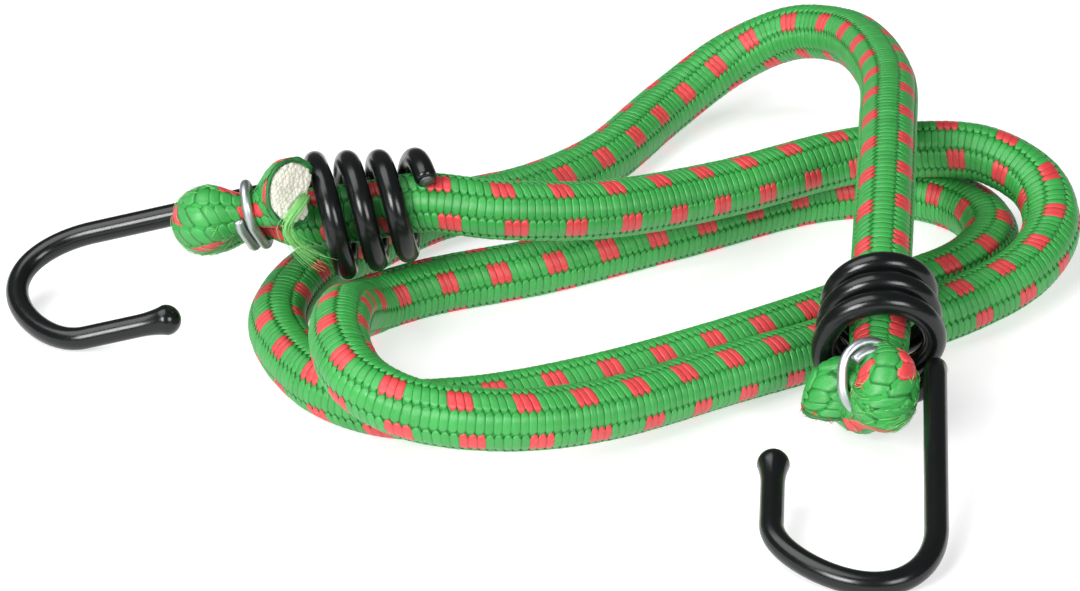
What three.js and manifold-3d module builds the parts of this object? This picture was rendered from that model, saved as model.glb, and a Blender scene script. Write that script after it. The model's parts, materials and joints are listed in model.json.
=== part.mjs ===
// Bungee cord: a braided elastic cord that lies in two loose loops, with a coated wire hook on each end.
// Each hook's wire is wound round the cord, and the cord is folded back and tied so that it can't pull out.
// Millimetres, +Z up, table at z = 0. The origin is on the table, under the middle of the two hooks.

import * as THREE from 'three';
import { mergeVertices } from 'three/addons/utils/BufferGeometryUtils.js';
import Module from 'manifold-3d';

const wasm = await Module();
wasm.setup();

// Driving dimensions of the cord
const CORD_DIAMETER = 8;
const SHEATH_WALL = 1.3;
const CORE_CLEARANCE = 0.3;
const REST_FLAT = 0.8;

// Driving dimensions of the hooks
const STEEL_DIAMETER = 2.1;
const COATING_CLEARANCE = 0.2;
const COATING_WALL = 0.3;
const COIL_CLEARANCE = 0.35;
const COIL_FLARE = 1.7;
const COIL_PITCH = 4.3;
const COIL_TURNS = 3.25;
const COIL_EXIT_RADIUS = 2.6;
const SHANK_INSET = 0.5;
const SHANK_LENGTH = 33;
const BEND_RADIUS = 10.2;
const BEND_SKEW = 0.25;
const TIP_LENGTH = 11.4;
const TIP_BALL_DIAMETER = 4.2;
const TIP_COVER = 1.2;
const HOOK_LEAN_DEG = 5;

// Driving dimensions of the ties
const TIE_DIAMETER = 1.2;
const TIE_CLEARANCE = 0.4;
const TIE_TURNS = 2;
const TIE_PITCH = 1.7;
const TIE_PINCH = 0.2;
const TIE_PINCH_REACH = 5;
const LEG_GAP = 0.5;

// Facets
const CORD_SIDES = 10;
const CORE_SIDES = 8;
const CORD_STEPS_PER_POINT = 2;
const WIRE_SIDES = 8;
const STEEL_SIDES = 6;
const COIL_STEPS_PER_TURN = 14;
const EXIT_STEPS = 4;
const SHANK_STEPS = 3;
const BEND_STEPS = 12;
const TIP_STEPS = 2;
const CROWN_STEPS = 6;
const TIE_STEPS_PER_TURN = 20;

// Sizes that follow from those
const cordRadius = CORD_DIAMETER / 2;
const boreRadius = cordRadius - SHEATH_WALL;
const coreRadius = boreRadius - CORE_CLEARANCE;
const restHeight = cordRadius - REST_FLAT;
const steelRadius = STEEL_DIAMETER / 2;
const sleeveRadius = steelRadius + COATING_CLEARANCE;
const wireRadius = sleeveRadius + COATING_WALL;
const coilRadiusFree = cordRadius + COIL_CLEARANCE + wireRadius;
const coilRadiusHook = coilRadiusFree + COIL_FLARE;
const shankOffset = coilRadiusHook - SHANK_INSET;
const legSpacing = CORD_DIAMETER + LEG_GAP;
const crownRadius = legSpacing / 2;
const fullTurn = 2 * Math.PI;

// Where each hook sits: the coil's middle at its hook end, the way out along the coil, the side of the
// coil that the shank leaves from, the side that the cord folds to, and how far out its tie and crown are.
const ENDS = {
  left: {
    seat: [-19.6, 32.9, 15.15],
    out: [-0.982, 0.043, -0.184],
    shankSide: [-0.013, 0.948, 0.318],
    foldSide: [0, -0.64, 0.77],
    tieAt: 8.1,
    crownAt: 11.7,
    axisPoints: [-14, -5],
    tail: [[5.4, 0, 0], [4.6, -0.2, -0.1], [3.8, -0.8, -0.4]],
  },
  right: {
    seat: [53.9, -0.9, 10.75],
    out: [-0.058, -0.953, -0.298],
    shankSide: [0.998, -0.061, 0],
    foldSide: [-1, 0.06, 0],
    tieAt: 5.8,
    crownAt: 8.4,
    axisPoints: [-15, -6],
    tail: [[3.8, 0, 0], [2.8, -0.1, 0]],
  },
};

// The cord's route between the two hooks, from the left coil to the right one.
const LIE = restHeight;
const ROUTE = [
  [4.5, 32.5, 16.5], [18, 38, 14], [35, 51, 11], [52.5, 62, 10.8], [62.5, 63.5, 11.5], [72.5, 61.5, 11.7],
  [79.5, 56, 9.5], [81, 48.5, 6.7], [77, 39, 4.8], [67, 29.5, 3.6], [53, 20, 3.6], [36, 7, 5], [17.5, -7.5, 6.7],
  [5, -13.5, 8.5], [-6, -13.5, 10], [-12.5, -9, 11.2], [-15.5, -1.5, 12], [-16, 9.5, 11.2], [-13.5, 29, 3.7],
  [-5.5, 36.5, LIE], [10, 42.5, LIE], [29.5, 54, LIE], [50, 66, LIE], [63, 67, LIE], [70.5, 61.5, LIE],
  [73, 52.5, LIE], [68.5, 42.5, LIE], [53, 30.5, LIE], [34, 17, LIE], [15.5, 6, LIE], [1, 0.5, LIE],
  [-9, 0, LIE], [-17.5, 5.5, LIE], [-23.5, 16.5, LIE], [-25.5, 26.5, LIE], [-23, 38.5, LIE], [-17, 46.5, LIE],
  [-5, 59.5, LIE], [8.5, 67, LIE], [18.5, 77, 3.4], [28.5, 94, 4.5], [38.5, 102, 9], [47, 101.5, 13.2],
  [54.5, 94, 16], [59, 71.5, 19.3], [58, 50.5, 20.3], [56.5, 32.5, 18.8],
];

const sheathMaterial = new THREE.MeshStandardMaterial({ color: 0x2fae45, roughness: 0.75, metalness: 0 });
const coreMaterial = new THREE.MeshStandardMaterial({ color: 0xe1d7c8, roughness: 0.7, metalness: 0 });
const coatingMaterial = new THREE.MeshStandardMaterial({ color: 0x1e2426, roughness: 0.4, metalness: 0 });
const steelMaterial = new THREE.MeshStandardMaterial({ color: 0x8d9296, roughness: 0.35, metalness: 1 });
const tieMaterial = new THREE.MeshStandardMaterial({ color: 0xbec8cd, roughness: 0.3, metalness: 1 });

// A smooth path that puts its rings at its points, evenly counted between each two of them.
class RingPath extends THREE.CatmullRomCurve3 {
  getUtoTmapping(u) {
    return u;
  }
}

function polygon(radius, sides) {
  const points = [];
  for (let i = 0; i < sides; i += 1) {
    const angle = (i / sides) * fullTurn;
    points.push(new THREE.Vector2(radius * Math.cos(angle), radius * Math.sin(angle)));
  }
  return new THREE.Shape(points);
}

// A closed round bar along the points, with a flat end at each of them.
function bar(points, radius, sides, stepsPerPoint = 1) {
  const extrudePath = new RingPath(points);
  const steps = stepsPerPoint * (points.length - 1);
  return new THREE.ExtrudeGeometry(polygon(radius, sides), { extrudePath, steps });
}

function solid(geometry) {
  const bare = geometry.clone();
  bare.deleteAttribute('normal');
  bare.deleteAttribute('uv');
  const merged = mergeVertices(bare, 1e-4);
  const vertProperties = new Float32Array(merged.attributes.position.array);
  const triVerts = new Uint32Array(merged.index.array);
  return new wasm.Manifold(new wasm.Mesh({ numProp: 3, vertProperties, triVerts }));
}

function geometryOf(manifold) {
  const { vertProperties, triVerts } = manifold.getMesh();
  const geometry = new THREE.BufferGeometry();
  geometry.setAttribute('position', new THREE.BufferAttribute(vertProperties, 3));
  geometry.setIndex(new THREE.BufferAttribute(triVerts, 1));
  geometry.computeVertexNormals();
  return geometry;
}

function named(name, geometry, material) {
  const mesh = new THREE.Mesh(geometry, material);
  mesh.name = name;
  return mesh;
}

// An end's own directions: out along the coil, side towards the shank, up square to both, fold towards
// the tail, and shank, which leans a little from the coil's axis.
function endFrame(end) {
  const seat = new THREE.Vector3(...end.seat);
  const out = new THREE.Vector3(...end.out).normalize();
  const side = new THREE.Vector3(...end.shankSide).projectOnPlane(out).normalize();
  const up = new THREE.Vector3().crossVectors(out, side);
  const fold = new THREE.Vector3(...end.foldSide).projectOnPlane(out).normalize();
  const across = new THREE.Vector3().crossVectors(out, fold);
  const lean = THREE.MathUtils.degToRad(HOOK_LEAN_DEG);
  const shank = out.clone().multiplyScalar(Math.cos(lean)).addScaledVector(up, Math.sin(lean));
  return { ...end, seat, out, side, up, fold, across, shank };
}

// A point of the fold: so far out from the coil, towards the tail, and across.
function foldPoint(frame, outward, towards, across) {
  const point = frame.seat.clone().addScaledVector(frame.out, outward);
  return point.addScaledVector(frame.fold, towards).addScaledVector(frame.across, across);
}

// The cord's end, from the coil out: straight up the coil, round the crown of the fold, and back along
// the tail, which turns away past the tie.
function foldPoints(frame) {
  const points = frame.axisPoints.map((outward) => foldPoint(frame, outward, 0, 0));
  points.push(foldPoint(frame, frame.tieAt, 0, 0));
  for (let i = 0; i <= CROWN_STEPS; i += 1) {
    const angle = (i / CROWN_STEPS) * Math.PI;
    const outward = frame.crownAt + crownRadius * Math.sin(angle);
    points.push(foldPoint(frame, outward, crownRadius * (1 - Math.cos(angle)), 0));
  }
  for (const [outward, backwards, across] of frame.tail) {
    points.push(foldPoint(frame, outward, legSpacing - backwards, across));
  }
  return points;
}

// The hook's centre line, from the cut end of the coil to the tip. The coil is a helix that widens
// towards the hook, the wire leaves it along a quarter bend, and the bend of the hook is half a turn
// whose shank side bulges a little.
function hookPoints(frame) {
  const { seat, out, side, up, shank } = frame;
  const points = [];
  const exitAngle = COIL_EXIT_RADIUS / coilRadiusHook;
  const coilSteps = Math.round(COIL_TURNS * COIL_STEPS_PER_TURN);
  const onCoil = (angle, outward, radius) => {
    const point = seat.clone().addScaledVector(out, outward);
    return point.addScaledVector(side, radius * Math.cos(angle)).addScaledVector(up, -radius * Math.sin(angle));
  };
  for (let i = coilSteps; i > 0; i -= 1) {
    const share = i / coilSteps;
    const turns = share * COIL_TURNS;
    const radius = coilRadiusHook - COIL_FLARE * share;
    points.push(onCoil(exitAngle + turns * fullTurn, -turns * COIL_PITCH, radius));
  }
  for (let i = 0; i < EXIT_STEPS; i += 1) {
    const quarter = (i / EXIT_STEPS) * (Math.PI / 2);
    const angle = exitAngle * (1 - Math.sin(quarter));
    const radius = coilRadiusHook - SHANK_INSET * Math.sin(quarter);
    points.push(onCoil(angle, COIL_EXIT_RADIUS * (1 - Math.cos(quarter)), radius));
  }
  const onHook = (along, outwards) => {
    const point = seat.clone().addScaledVector(shank, along);
    return point.addScaledVector(side, outwards);
  };
  for (let i = 0; i < SHANK_STEPS; i += 1) {
    const along = COIL_EXIT_RADIUS + (i / SHANK_STEPS) * (SHANK_LENGTH - COIL_EXIT_RADIUS);
    points.push(onHook(along, shankOffset));
  }
  for (let i = 0; i < BEND_STEPS; i += 1) {
    const angle = (i / BEND_STEPS) * Math.PI;
    const bulge = 1 + BEND_SKEW * Math.cos(angle);
    const along = SHANK_LENGTH + BEND_RADIUS * Math.sin(angle) * bulge;
    points.push(onHook(along, shankOffset - BEND_RADIUS * (1 - Math.cos(angle))));
  }
  for (let i = 0; i <= TIP_STEPS; i += 1) {
    const along = SHANK_LENGTH - (i / TIP_STEPS) * TIP_LENGTH;
    points.push(onHook(along, shankOffset - 2 * BEND_RADIUS));
  }
  return points;
}

// The end of a row of points, moved along its own direction: out for a positive distance.
function moveEnd(points, atStart, distance) {
  const moved = points.map((point) => point.clone());
  const [end, next] = atStart ? [moved[0], moved[1]] : [moved[moved.length - 1], moved[moved.length - 2]];
  const direction = end.clone().sub(next).normalize();
  end.addScaledVector(direction, distance);
  return moved;
}

function hookMeshes(name, frame) {
  const points = hookPoints(frame);
  const tip = points[points.length - 1];
  const ball = new THREE.SphereGeometry(TIP_BALL_DIAMETER / 2, WIRE_SIDES, WIRE_SIDES - 2);
  ball.translate(tip.x, tip.y, tip.z);
  const covered = moveEnd(points, false, -TIP_COVER);
  const hollow = moveEnd(covered, true, wireRadius);
  const steelPoints = moveEnd(covered, false, -COATING_CLEARANCE);
  const coating = solid(bar(points, wireRadius, WIRE_SIDES)).add(solid(ball));
  const sleeve = coating.subtract(solid(bar(hollow, sleeveRadius, STEEL_SIDES)));
  return [
    named(`${name}_hook_coating`, geometryOf(sleeve), coatingMaterial),
    named(`${name}_hook_wire`, bar(steelPoints, steelRadius, STEEL_SIDES), steelMaterial),
  ];
}

// The tie pinches the fold's two legs towards the line between them, most under its middle.
function pinchAt(outward) {
  return 1 - TIE_PINCH * Math.exp(-((outward / TIE_PINCH_REACH) ** 2));
}

function pinched(geometry, frame) {
  const middle = foldPoint(frame, frame.tieAt, crownRadius, 0);
  const position = geometry.attributes.position;
  const reach = crownRadius + cordRadius + LEG_GAP;
  const point = new THREE.Vector3();
  for (let i = 0; i < position.count; i += 1) {
    point.fromBufferAttribute(position, i).sub(middle);
    const outward = point.dot(frame.out);
    point.addScaledVector(frame.out, -outward);
    if (point.length() < reach && Math.abs(outward) < 3 * TIE_PINCH_REACH) {
      point.multiplyScalar(pinchAt(outward));
    }
    point.addScaledVector(frame.out, outward).add(middle);
    position.setXYZ(i, point.x, point.y, point.z);
  }
  return geometry;
}

// The tie's wire goes round both legs: two half circles joined by straight runs, climbing as it goes.
function tiePoints(frame) {
  const pinch = pinchAt((TIE_TURNS / 2) * TIE_PITCH);
  const half = crownRadius * pinch;
  const radius = cordRadius * pinch + TIE_CLEARANCE + TIE_DIAMETER / 2;
  const arc = Math.PI * radius;
  const run = 2 * half;
  const lap = 2 * (arc + run);
  const onLap = (distance) => {
    if (distance < arc) {
      const angle = distance / radius - Math.PI / 2;
      return [half + radius * Math.cos(angle), radius * Math.sin(angle)];
    }
    if (distance < arc + run) {
      return [half - (distance - arc), radius];
    }
    if (distance < 2 * arc + run) {
      const angle = (distance - arc - run) / radius + Math.PI / 2;
      return [-half + radius * Math.cos(angle), radius * Math.sin(angle)];
    }
    return [-half + (distance - 2 * arc - run), -radius];
  };
  const points = [];
  const steps = TIE_TURNS * TIE_STEPS_PER_TURN;
  for (let i = 0; i <= steps; i += 1) {
    const turns = (i / steps) * TIE_TURNS;
    const [towards, across] = onLap((turns % 1) * lap);
    const outward = frame.tieAt + (turns - TIE_TURNS / 2) * TIE_PITCH;
    points.push(foldPoint(frame, outward, crownRadius + towards, across));
  }
  return points;
}

// The least gap between stretches of one tube that lie further apart along it than they do across.
function leastGap(points, diameter) {
  const samples = new RingPath(points).getPoints(4 * points.length);
  const along = [0];
  for (let i = 1; i < samples.length; i += 1) {
    along.push(along[i - 1] + samples[i].distanceTo(samples[i - 1]));
  }
  let least = Infinity;
  for (let i = 0; i < samples.length; i += 1) {
    for (let j = i + 1; j < samples.length; j += 1) {
      const apart = samples[i].distanceTo(samples[j]);
      if (along[j] - along[i] > 2 * diameter && apart < least) {
        least = apart;
      }
    }
  }
  return least - diameter;
}

const left = endFrame(ENDS.left);
const right = endFrame(ENDS.right);
const route = ROUTE.map((point) => new THREE.Vector3(...point));
const cordPoints = [...foldPoints(left).reverse(), ...route, ...foldPoints(right)];
const cordBar = (points, radius, sides) => {
  const geometry = bar(points, radius, sides, CORD_STEPS_PER_POINT);
  return pinched(pinched(geometry, left), right);
};
const openEnds = moveEnd(moveEnd(cordPoints, true, SHEATH_WALL), false, SHEATH_WALL);
const table = new THREE.BoxGeometry(400, 400, CORD_DIAMETER).translate(0, 0, -cordRadius);
const outside = solid(cordBar(cordPoints, cordRadius, CORD_SIDES));
const tube = outside.subtract(solid(cordBar(openEnds, boreRadius, CORE_SIDES)));

const bungee = new THREE.Group();
bungee.add(named('braided_sheath', geometryOf(tube.subtract(solid(table))), sheathMaterial));
bungee.add(named('rubber_core', cordBar(cordPoints, coreRadius, CORE_SIDES), coreMaterial));
for (const [name, frame] of [['left', left], ['right', right]]) {
  bungee.add(...hookMeshes(name, frame));
  bungee.add(named(`${name}_tie_wire`, bar(tiePoints(frame), TIE_DIAMETER / 2, STEEL_SIDES), tieMaterial));
}

console.log('least gap of the cord to itself', leastGap(cordPoints, CORD_DIAMETER).toFixed(2));
console.log('least gap of a hook to itself', leastGap(hookPoints(left), 2 * wireRadius).toFixed(2));
console.log('least gap of a tie to itself', leastGap(tiePoints(left), TIE_DIAMETER).toFixed(2));

export default bungee;
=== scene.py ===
"""Bungee cord: a green and red braided elastic cord, loosely looped, with a coated wire hook on each end.

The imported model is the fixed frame. Each piece of the cord is worked out here as a surface on a grid, in
metres, where the frame has it: the braid yarn by yarn, the rubber core, the hooks, the ties and the frayed
yarns at the two cut ends.
"""

import json

import bpy
import numpy as np
from bpy.props import FloatProperty, FloatVectorProperty, IntProperty, PointerProperty
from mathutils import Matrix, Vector


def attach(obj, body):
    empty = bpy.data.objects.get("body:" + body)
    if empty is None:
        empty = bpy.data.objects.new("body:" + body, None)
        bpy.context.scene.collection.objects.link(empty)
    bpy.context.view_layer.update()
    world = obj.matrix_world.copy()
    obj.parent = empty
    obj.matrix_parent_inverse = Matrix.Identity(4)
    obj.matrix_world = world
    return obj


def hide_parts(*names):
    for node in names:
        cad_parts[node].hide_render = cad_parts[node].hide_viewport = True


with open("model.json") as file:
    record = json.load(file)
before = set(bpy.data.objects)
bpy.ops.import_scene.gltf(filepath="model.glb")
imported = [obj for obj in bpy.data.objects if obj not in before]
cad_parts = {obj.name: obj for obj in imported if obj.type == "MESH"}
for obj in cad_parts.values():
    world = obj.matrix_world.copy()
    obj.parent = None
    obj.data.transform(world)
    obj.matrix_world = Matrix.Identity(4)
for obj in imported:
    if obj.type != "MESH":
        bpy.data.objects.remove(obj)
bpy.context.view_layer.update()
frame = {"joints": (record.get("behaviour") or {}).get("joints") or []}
JOINTS = {joint["name"]: joint for joint in frame["joints"]}

bl_info = {
    "name": "Bungee Cord",
    "version": (1, 0, 0),
    "blender": (4, 5, 0),
    "location": "View3D > Sidebar > Bungee",
    "description": "Builds a braided bungee cord with two coated wire hooks round its packed frame",
    "category": "Add Mesh",
}

FULL_TURN = 2 * np.pi
UP = np.array((0.0, 0.0, 1.0))
EAST = np.array((1.0, 0.0, 0.0))

# The cord's route between the two coils, in metres, within a millimetre of the part's own. LIE is the
# height of the centre line where the cord lies on the table.
LIE = 0.0032
ROUTE = (
    (0.0045, 0.0325, 0.0165), (0.018, 0.038, 0.014), (0.035, 0.051, 0.011), (0.0525, 0.062, 0.0108),
    (0.0625, 0.0635, 0.0115), (0.0725, 0.0615, 0.0117), (0.0795, 0.056, 0.0095), (0.081, 0.0485, 0.0067),
    (0.077, 0.039, 0.0048), (0.067, 0.0295, 0.0036), (0.053, 0.02, 0.0036), (0.036, 0.007, 0.005),
    (0.0175, -0.0075, 0.0067), (0.005, -0.0135, 0.0085), (-0.006, -0.0135, 0.01),
    (-0.0125, -0.009, 0.0112), (-0.0155, -0.0015, 0.012), (-0.016, 0.0095, 0.0112),
    (-0.0135, 0.029, 0.0037), (-0.0055, 0.0357, LIE), (0.01, 0.0425, LIE), (0.0295, 0.054, LIE),
    (0.05, 0.066, LIE), (0.063, 0.067, LIE), (0.0705, 0.0615, LIE), (0.073, 0.0525, LIE),
    (0.0685, 0.0425, LIE), (0.053, 0.0305, LIE), (0.034, 0.017, LIE), (0.0155, 0.006, LIE),
    (0.001, 0.0005, LIE), (-0.009, 0.0, LIE), (-0.0175, 0.0055, LIE), (-0.0235, 0.0165, LIE),
    (-0.0253, 0.0265, LIE), (-0.0222, 0.0385, LIE), (-0.0163, 0.0466, LIE), (-0.005, 0.0595, LIE),
    (0.0085, 0.067, LIE), (0.0185, 0.077, 0.0034), (0.0285, 0.094, 0.0045), (0.0385, 0.102, 0.009),
    (0.047, 0.1015, 0.0132), (0.0545, 0.094, 0.016), (0.059, 0.0715, 0.0193), (0.058, 0.0505, 0.0203),
    (0.0565, 0.0325, 0.0188),
)

# How the braid lies: at a distance along the cord, how far its rows stand round from the top in radians,
# and how far they have slipped along it.
LAY = ((0.06, 0.32, 0.0), (0.22, -0.45, -0.0009), (0.46, -0.6, -0.0031), (0.75, -0.78, -0.0094))

# Each end of the cord. The sides that the shank and the fold are on are directions in the world. The other
# points and directions are distances outward from the coil, towards the fold and across it. The coil's turns
# stand back by the skew, most at the skew angle, and the folded tail clears them by the coil gap. The fold
# runs from the coil round to the cord's cut end, swells at its crown and flares at its end. The tie's loop
# goes round its middle, square to its axis and longest along its span, starts at a share of a turn and
# drifts along its span, and it draws the fold in by the pinch.
ENDS = {
    "left": {
        "joint": "left_hook_swivel",
        "shank_side": (-0.013, 0.948, 0.318),
        "fold_side": (0.0, -0.64, 0.77),
        "skew": 0.18,
        "skew_angle": 2.37,
        "coil_gap": 0.0002,
        "tie_middle": (0.0085, 0.0041, 0.0),
        "tie_axis": (1.0, 0.0, 0.0),
        "tie_span": (0.0, 1.0, 0.0),
        "tie_half": 0.0023,
        "tie_start": 0.53,
        "tie_turns": 1.54,
        "tie_drift": 0.0,
        "pinch": 0.42,
        "swell": 0.18,
        "flare": 0.17,
        "fold": (
            (-0.014, 0.0, 0.0), (-0.005, 0.0, 0.0), (0.0081, 0.0003, 0.0006), (0.0113, 0.0005, 0.0012),
            (0.0132, 0.001, 0.0012), (0.0145, 0.0024, 0.0007), (0.015, 0.0042, 0.0),
            (0.0145, 0.006, -0.0005), (0.0132, 0.0074, -0.0007), (0.0113, 0.0079, -0.0007),
            (0.0055, 0.0081, -0.0003), (0.0039, 0.0088, 0.0006), (0.0017, 0.0105, -0.0007),
        ),
    },
    "right": {
        "joint": "right_hook_swivel",
        "shank_side": (0.998, -0.061, 0.0),
        "fold_side": (-1.0, 0.06, 0.0),
        "skew": 0.0,
        "skew_angle": 0.0,
        "coil_gap": 0.0005,
        "tie_middle": (0.0042, 0.0012, -0.0012),
        "tie_axis": (0.69, -0.39, -0.61),
        "tie_span": (0.66, 0.0, 0.75),
        "tie_half": 0.0006,
        "tie_start": 0.6,
        "tie_turns": 1.24,
        "tie_drift": 0.0011,
        "pinch": 0.24,
        "swell": 0.26,
        "flare": 0.05,
        "fold": (
            (-0.015, 0.0, 0.0), (-0.006, 0.0, 0.0), (-0.001, -0.0002, -0.0002),
            (0.0026, -0.0007, -0.0012), (0.0049, -0.0008, -0.0012), (0.0064, -0.0006, 0.0),
            (0.0068, -0.0001, 0.0015), (0.0063, 0.0008, 0.0027), (0.0052, 0.0017, 0.0031),
            (0.0041, 0.0027, 0.0029), (0.0033, 0.0038, 0.0024), (0.003, 0.0046, 0.0021),
            (0.0031, 0.0053, 0.0028), (0.0035, 0.0056, 0.0041), (0.0039, 0.0058, 0.0055),
        ),
    },
}

# The values of an end that are used as they stand.
PLAIN_KEYS = (
    "skew", "skew_angle", "coil_gap", "tie_half", "tie_start", "tie_turns", "tie_drift", "pinch", "swell",
    "flare",
)


def length_setting(name, description, default):
    return FloatProperty(name=name, description=description, default=default, unit="LENGTH")


def count_setting(name, description, default, least=1):
    return IntProperty(name=name, description=description, default=default, min=least)


def color_setting(name, description, default):
    return FloatVectorProperty(name=name, description=description, default=default, subtype="COLOR")


def place_setting(name, description, default):
    return FloatVectorProperty(name=name, description=description, default=default, subtype="TRANSLATION")


class CordSettings(bpy.types.PropertyGroup):
    """Sizes and colours of the braided cord and its core."""

    diameter: length_setting("Diameter", "Across the crests of the yarns", 0.0081)
    float_pitch: length_setting("Yarn pitch", "From one yarn to the next along the cord", 0.001015)
    columns: count_setting("Columns", "Columns of yarn floats round the cord", 8, least=4)
    repeat: count_setting("Repeat", "Floats from one fleck to the next in a column", 8, least=2)
    fleck: count_setting("Fleck", "Floats of the second colour in each repeat", 3, least=0)
    core_diameter: length_setting("Core", "Diameter of the rubber core", 0.0052)
    green: color_setting("Green yarn", "Main colour", (0.023, 0.32, 0.047))
    red: color_setting("Red yarn", "Fleck colour", (0.66, 0.04, 0.045))
    cream: color_setting("Rubber", "Colour of the core", (0.64, 0.62, 0.54))


class HookSettings(bpy.types.PropertyGroup):
    """Sizes and colours of the two hooks."""

    wire: length_setting("Coated wire", "Diameter over the coating", 0.0031)
    steel: length_setting("Steel", "Diameter of the bare steel", 0.0021)
    coil_radius: length_setting("Coil", "Coil radius at the hook, to the wire's middle", 0.0076)
    coil_flare: length_setting("Flare", "How much the coil widens towards the hook", 0.0017)
    coil_pitch: length_setting("Pitch", "From turn to turn of the coil", 0.0043)
    coil_turns: FloatProperty(name="Turns", description="Turns of the coil", default=3.25)
    coil_spring: length_setting("Spring", "How far the coil's cut end stands off its last turn", 0.0018)
    coil_exit: length_setting("Exit bend", "Radius where the wire leaves the coil", 0.0026)
    inset: length_setting("Inset", "How far the shank stands in from the coil", 0.0005)
    shank: length_setting("Shank", "From the coil to the bend", 0.033)
    bend_radius: length_setting("Bend", "Radius of the bend", 0.0102)
    bend_skew: FloatProperty(name="Skew", description="Bulge of the bend's shank side", default=0.25)
    tip: length_setting("Tip", "Length of the returning arm", 0.0114)
    tip_ball: length_setting("Tip drop", "Diameter of the drop on the tip", 0.0042)
    lean: FloatProperty(
        name="Lean", description="From the coil's axis to the shank", default=np.radians(5), subtype="ANGLE"
    )
    black: color_setting("Coating", "Colour of the coating", (0.004, 0.005, 0.0052))


class TieSettings(bpy.types.PropertyGroup):
    """Sizes and colour of the two wire ties."""

    wire: length_setting("Wire", "Diameter of the wire", 0.0014)
    pitch: length_setting("Pitch", "From turn to turn", 0.0016)
    reach: length_setting("Reach", "How far the narrowing runs along the fold", 0.0032)
    zinc: color_setting("Zinc", "Colour of the wire", (0.5, 0.53, 0.55))


class FraySettings(bpy.types.PropertyGroup):
    """Sizes and colours of the frayed ends."""

    fibre: length_setting("Fibre", "Thickness of a fibre", 0.0001)
    bundle: count_setting("Bundle", "Fibres in the loose bundle", 56)
    stubble: count_setting("Stubble", "Short fibres round each cut end", 150)
    fuzz: count_setting("Fuzz", "Loose fibres on the crown of each fold", 120)
    reach: length_setting("Reach", "Length of the longest short fibres", 0.0012)
    # Paler than the yarn: partly the loose fibres' own look, partly a painted highlight, as the fuzz on the
    # crowns stands for light streaks there.
    loose: color_setting("Loose yarn", "Colour of loose fibres", (0.26, 0.66, 0.2))
    melted: color_setting("Melted yarn", "Colour of the melted rim", (0.012, 0.13, 0.03))


class StageSettings(bpy.types.PropertyGroup):
    """Camera, floor and light."""

    camera: place_setting("Camera", "Where the camera stands", (0.01, -0.5496, 0.2876))
    target: place_setting("Target", "Point that the camera faces", (0.01, 0.04, 0.0))
    lens: FloatProperty(
        name="Lens", description="Focal length in millimetres", default=158.6, unit="CAMERA"
    )
    floor: color_setting("Floor", "Colour of the floor", (0.55, 0.55, 0.55))
    glow: FloatProperty(name="Glow", description="Light that comes through the floor", default=0.58)


def settings(group):
    return getattr(bpy.context.scene, "bungee_" + group)


def unit(vectors):
    return vectors / np.linalg.norm(vectors, axis=-1, keepdims=True)


def eased(share):
    """A share from zero to one that starts and ends level: share^2 (3 - 2 share)."""
    return share**2 * (3 - 2 * share)


def round_angles(count):
    return np.linspace(0, FULL_TURN, count, endpoint=False)


CURVE_SAMPLES = 24  # places from one point of a curve to the next, before they are evened out


def curve_through(points, step):
    """A smooth curve through the points, at equal steps of about the given length.

    Between two points it is the cubic whose end slopes weigh the neighbouring chords by the square roots
    of their lengths (a centripetal Catmull-Rom curve), so it doesn't overshoot between uneven points.
    """
    inner = np.asarray(points, float)
    ends = np.concatenate([2 * inner[:1] - inner[1:2], inner, 2 * inner[-1:] - inner[-2:-1]])
    chord = np.diff(ends, axis=0)
    knot = np.sqrt(np.linalg.norm(chord, axis=1))[:, None]
    rate = chord / knot
    slope = rate[:-1] - (ends[2:] - ends[:-2]) / (knot[:-1] + knot[1:]) + rate[1:]
    t = np.linspace(0, 1, CURVE_SAMPLES, endpoint=False)[None, :, None]
    span = knot[1:-1, None]
    start, stop = inner[:-1, None], inner[1:, None]
    fine = start * (2 * t**3 - 3 * t**2 + 1) + slope[:-1, None] * span * (t**3 - 2 * t**2 + t)
    fine = fine + stop * (3 * t**2 - 2 * t**3) + slope[1:, None] * span * (t**3 - t**2)
    fine = np.concatenate([fine.reshape(-1, 3), inner[-1:]])
    return even_steps(fine, step)


def lengths(path):
    return np.concatenate([[0.0], np.cumsum(np.linalg.norm(np.diff(path, axis=0), axis=1))])


def read_off(table, at, places):
    """Rows of a table that stand at known distances, read off at places between them."""
    return np.stack([np.interp(places, at, column) for column in table.T], axis=-1)


def even_steps(path, step):
    along = lengths(path)
    even = np.linspace(0, along[-1], max(3, int(round(along[-1] / step)) + 1))
    return read_off(path, along, even)


NEARLY_UPRIGHT = 0.9  # a path that climbs by more than this share takes its first side from EAST
NO_TURN = 1e-18  # a squared change of direction that counts as none


def carried_frames(path):
    """Two directions square to the path at each of its points, carried along it without twisting.

    Each step reflects the last pair in the plane halfway between the two points, and then in the plane
    that turns the tangent right.
    """
    ahead = unit(np.gradient(path, axis=0))
    first = np.cross(ahead[0], UP if abs(ahead[0] @ UP) < NEARLY_UPRIGHT else EAST)
    sides = [first / np.linalg.norm(first)]
    for here, there, old, new in zip(path[:-1], path[1:], ahead[:-1], ahead[1:]):
        hop = there - here
        side = sides[-1] - 2 * hop * (hop @ sides[-1]) / (hop @ hop)
        turned = old - 2 * hop * (hop @ old) / (hop @ hop)
        fix = new - turned
        size = fix @ fix
        sides.append(side - 2 * fix * (fix @ side) / size if size > NO_TURN else side)
    side = np.array(sides)
    return side, np.cross(ahead, side)


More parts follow.
